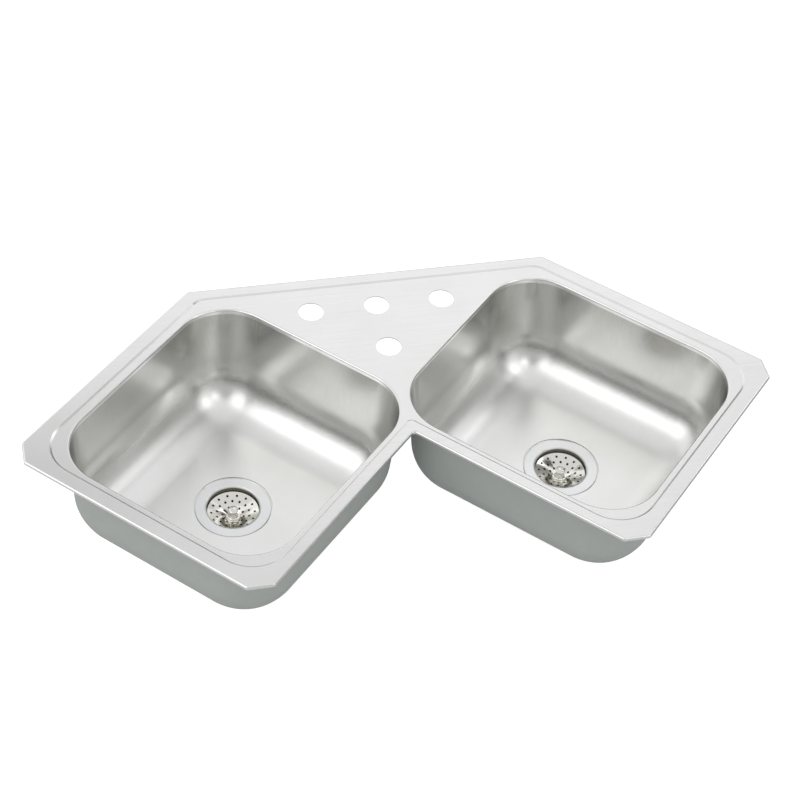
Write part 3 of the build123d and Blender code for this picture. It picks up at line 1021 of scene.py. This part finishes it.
@dataclass
class Strainer:
    """One basket strainer: what stays in the bowl, and the basket that lifts out."""

    wing: Wing
    nodes: dict

    @property
    def axis(self) -> Vector:
        """Middle of the strainer body, which its axis passes through."""
        return middle(self.wing.named("strainer_body"))

    def turned(self, name: str, colour: str, roughness: float, **pattern) -> Material:
        """Turned or polished metal with its rings round this strainer's axis.

        Args:
            name: The finish's plain name.
            colour: sRGB hex.
            roughness: Its mean roughness.
            pattern: The other values of its pattern.

        Returns:
            The material.
        """
        at = (self.axis.x, self.axis.y)
        finish = TurnedMetal(self.wing.named(name), colour, roughness, 1.0, axis_at=at, **pattern)
        return finish.material()

    def build(self) -> None:
        """Dress every piece of the strainer and put the detailed ones on it."""
        named, axis = self.wing.named, self.axis
        polished = self.turned(
            "polished_stainless", "#f2f1ec", 0.13, worn="#dad8d1", ring_mm=0.8, depth_mm=0.002
        )
        plated = self.turned(
            "chromed_brass", "#d4d6d8", 0.10, worn="#bcbec0", ring_mm=1.1, depth_mm=0.001
        )
        brass = self.turned(
            "turned_brass", "#c9a45c", 0.28, worn="#a9854a", ring_mm=0.7, depth_mm=0.004
        )
        satin = FLANGE_STEEL.material()
        plain = {
            "strainer_body": satin,
            "basket_cup": polished,
            "tailpiece": plated,
            "basket_post": brass,
            "post_nut": brass,
            "stopper": SOFT_RUBBER.material(),
            "gasket": SOFT_RUBBER.material(),
            "friction_ring": FIBRE.material(),
            "seal_ring": PUTTY.material(),
            "tail_washer": WASHER.material(),
        }
        for name, material in plain.items():
            dress(self.nodes[named(name)], material)
        dish_top, _ = levels(named("basket_knob"))
        knob = Knob().model(named("turned_knob"), axis, dish_top)
        seat(knob, named("basket"), "polished_steel", polished, named("basket_knob"))
        nut_bottom, nut_top = levels(named("lock_nut"))
        nut = LockNut().model(named("cast_lock_nut"), axis, nut_bottom, nut_top)
        seat(nut, SINK, "cast_zinc", CAST_ZINC.material(), named("lock_nut"))
        turn = HALF_SIDE if self.wing is Wing.RIGHT else 0.0
        slip_nut = SlipNut().model(named("slip_nut"), axis, *levels(named("coupling_nut")), turn)
        seat(slip_nut, SINK, "plated_brass", plated, named("coupling_nut"))
        thread = WellThread().model(named("well_thread"), axis, nut_bottom)
        seat(thread, SINK, "strainer_steel", satin)
        LOG.info("%s strainer dressed", self.wing.value)


# ---------------------------------------------------------------- studio

@dataclass(frozen=True)
class Card:
    """A grey card, seen only in reflections, that shapes the steel. It hangs level or faces the sink."""

    name: str
    place: Triple
    size: Pair
    grey: str
    faces_sink: bool = False

    def hang(self) -> None:
        """Add the card to the studio."""
        deselect()
        bpy.ops.mesh.primitive_plane_add(size=1, location=self.place)
        card = bpy.context.object
        card.name = self.name
        if self.faces_sink:
            card.rotation_euler = (-Vector(self.place)).to_track_quat("Z", "Y").to_euler()
        card.scale = (*self.size, 1)
        made = bpy.data.materials.new(self.name)
        made.use_nodes = True
        shader = made.node_tree.nodes["Principled BSDF"]
        shader.inputs["Base Color"].default_value = (0, 0, 0, 1)
        shader.inputs["Emission Color"].default_value = linear(self.grey)
        shader.inputs["Emission Strength"].default_value = 1.0
        dress(card, made)
        card.visible_camera = False
        card.visible_diffuse = False
        card.visible_shadow = False
        card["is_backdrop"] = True


@dataclass(frozen=True)
class Lamp:
    """A soft rectangular lamp. A reflected one also shows in the steel, as a long soft glow."""

    name: str
    place: Triple
    size: Pair
    power: float
    target: Triple = (0, 0, 0)
    reflected: bool = True

    def hang(self) -> None:
        """Add the lamp to the studio."""
        data = bpy.data.lights.new(self.name, "AREA")
        data.shape = "RECTANGLE"
        data.size, data.size_y = self.size
        data.energy = self.power
        lamp = bpy.data.objects.new(self.name, data)
        lamp.visible_glossy = self.reflected
        lamp.location = self.place
        aim = Vector(self.target) - Vector(self.place)
        lamp.rotation_euler = aim.to_track_quat("-Z", "Y").to_euler()
        bpy.context.scene.collection.objects.link(lamp)


CARDS = (
    Card("studio_front_card", (2.05, -3.7, 1.4), (7.0, 4.6), "#c0c0c0", faces_sink=True),
    Card("studio_camera_side_card", (1.36, -2.44, 2.88), (1.4, 1.2), "#888888", faces_sink=True),
    Card("studio_back_card", (-0.6, 3.4, 0.75), (5.5, 1.5), "#7c7c7c", faces_sink=True),
    Card("studio_right_card", (2.9, 2.0, 0.7), (3.4, 1.7), "#7c7c7c", faces_sink=True),
    Card("studio_overhead_card", (0.0, 0.1, 2.2), (3.2, 2.4), "#e0e0e0"),
    Card("studio_dark_bar", (1.4, 1.2, 2.15), (0.46, 1.1), "#404040"),
    Card("studio_left_card", (-1.5, 0.66, 2.15), (0.6, 0.6), "#9c9c9c"),
    Card("studio_back_right_card", (0.5, 2.0, 2.2), (1.0, 1.0), "#d0d0d0"),
)
LAMPS = (
    Lamp("overhead_softbox", (-0.3, 0.4, 2.4), (2.4, 2.4), 10.0, reflected=False),
    Lamp("left_softbox", (-1.2, -2.4, 1.6), (1.4, 1.4), 7.0, target=(0, 0, -0.1), reflected=False),
    Lamp("front_strip", (-0.75, -2.1, 2.1), (2.4, 1.6), 9.0),
    Lamp("back_strip", (0.95, 2.05, 2.2), (0.8, 0.8), 2.2),
    Lamp("right_strip", (1.75, -1.0, 2.0), (0.18, 1.1), 2.0),
    Lamp("end_strip", (2.1, 0.3, 2.1), (0.5, 1.1), 3.0),
)


@dataclass
class Studio:
    """Plain floor, soft lamps, grey cards, white background and the camera of the photograph."""

    lowest: float
    camera_at: Triple = (1.1410, -1.9398, 2.1357)
    look_at: Triple = (0.13797, -0.14737, 0.0)
    roll_degrees: float = 5.063
    lens_mm: float = 91.35
    sensor_mm: float = 36.0
    view_limit: float = 100.0
    floor_size: float = 30.0
    floor_grey: str = "#cccccc"
    floor_roughness: float = 0.9
    floor_lift: float = 0.78
    world_level: float = 0.78

    def floor(self) -> None:
        """Pale floor just under the lowest piece, white to the camera, with the sink's shadow on it."""
        deselect()
        bpy.ops.mesh.primitive_plane_add(size=self.floor_size, location=(0, 0, self.lowest - MM))
        plane = bpy.context.object
        plane.name = "studio_floor"
        made = bpy.data.materials.new("pale_studio_floor")
        made.use_nodes = True
        tree = made.node_tree
        shader = tree.nodes["Principled BSDF"]
        shader.inputs["Base Color"].default_value = linear(self.floor_grey)
        shader.inputs["Roughness"].default_value = self.floor_roughness
        seen = add_node(tree, "LightPath").outputs["Is Camera Ray"]
        lift = combined(tree, "MULTIPLY", seen, self.floor_lift)
        shader.inputs["Emission Color"].default_value = (1, 1, 1, 1)
        tree.links.new(lift, shader.inputs["Emission Strength"])
        dress(plane, made)
        plane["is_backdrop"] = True

    def world(self) -> None:
        """White world to the camera and in reflections, and a plain level on what scatters light."""
        world = bpy.data.worlds.new("white_studio")
        bpy.context.scene.world = world
        world.use_nodes = True
        tree = world.node_tree
        path = add_node(tree, "LightPath")
        seen = combined(tree, "MAXIMUM", path.outputs["Is Camera Ray"], path.outputs["Is Glossy Ray"])
        either = combined(tree, "MAXIMUM", seen, path.outputs["Is Transmission Ray"])
        level = remapped(tree, either, (0, 1), (self.world_level, 1.0))
        background = tree.nodes["Background"]
        background.inputs["Color"].default_value = (1, 1, 1, 1)
        tree.links.new(level, background.inputs["Strength"])

    def camera(self) -> None:
        """Camera at the photograph's viewing angle, turned a little about its own axis."""
        data = bpy.data.cameras.new("photograph")
        data.lens = self.lens_mm
        data.sensor_width = self.sensor_mm
        data.clip_end = self.view_limit
        camera = bpy.data.objects.new("photograph", data)
        ahead = Vector(self.look_at) - Vector(self.camera_at)
        level = ahead.to_track_quat("-Z", "Y").to_matrix()
        roll = Matrix.Rotation(math.radians(self.roll_degrees), 3, "Z")
        camera.location = self.camera_at
        camera.rotation_euler = (level @ roll).to_euler()
        bpy.context.scene.collection.objects.link(camera)
        bpy.context.scene.camera = camera

    def build(self) -> None:
        """Set up the whole studio."""
        self.floor()
        for card in CARDS:
            card.hang()
        self.world()
        for lamp in LAMPS:
            lamp.hang()
        self.camera()
        bpy.context.scene.view_settings.view_transform = "Standard"
        LOG.info("studio ready")


def main() -> None:
    """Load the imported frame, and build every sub-assembly and the studio."""
    logging.basicConfig(level=logging.INFO, format="%(message)s")
    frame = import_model()
    cad_low, cad_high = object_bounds()
    nodes = frame["nodes"]
    Deck(nodes).build()
    for wing in Wing:
        Bowl(wing, nodes).build()
        Strainer(wing, nodes).build()
    Studio(cad_low.z).build()


if __name__ == "__main__":
    main()
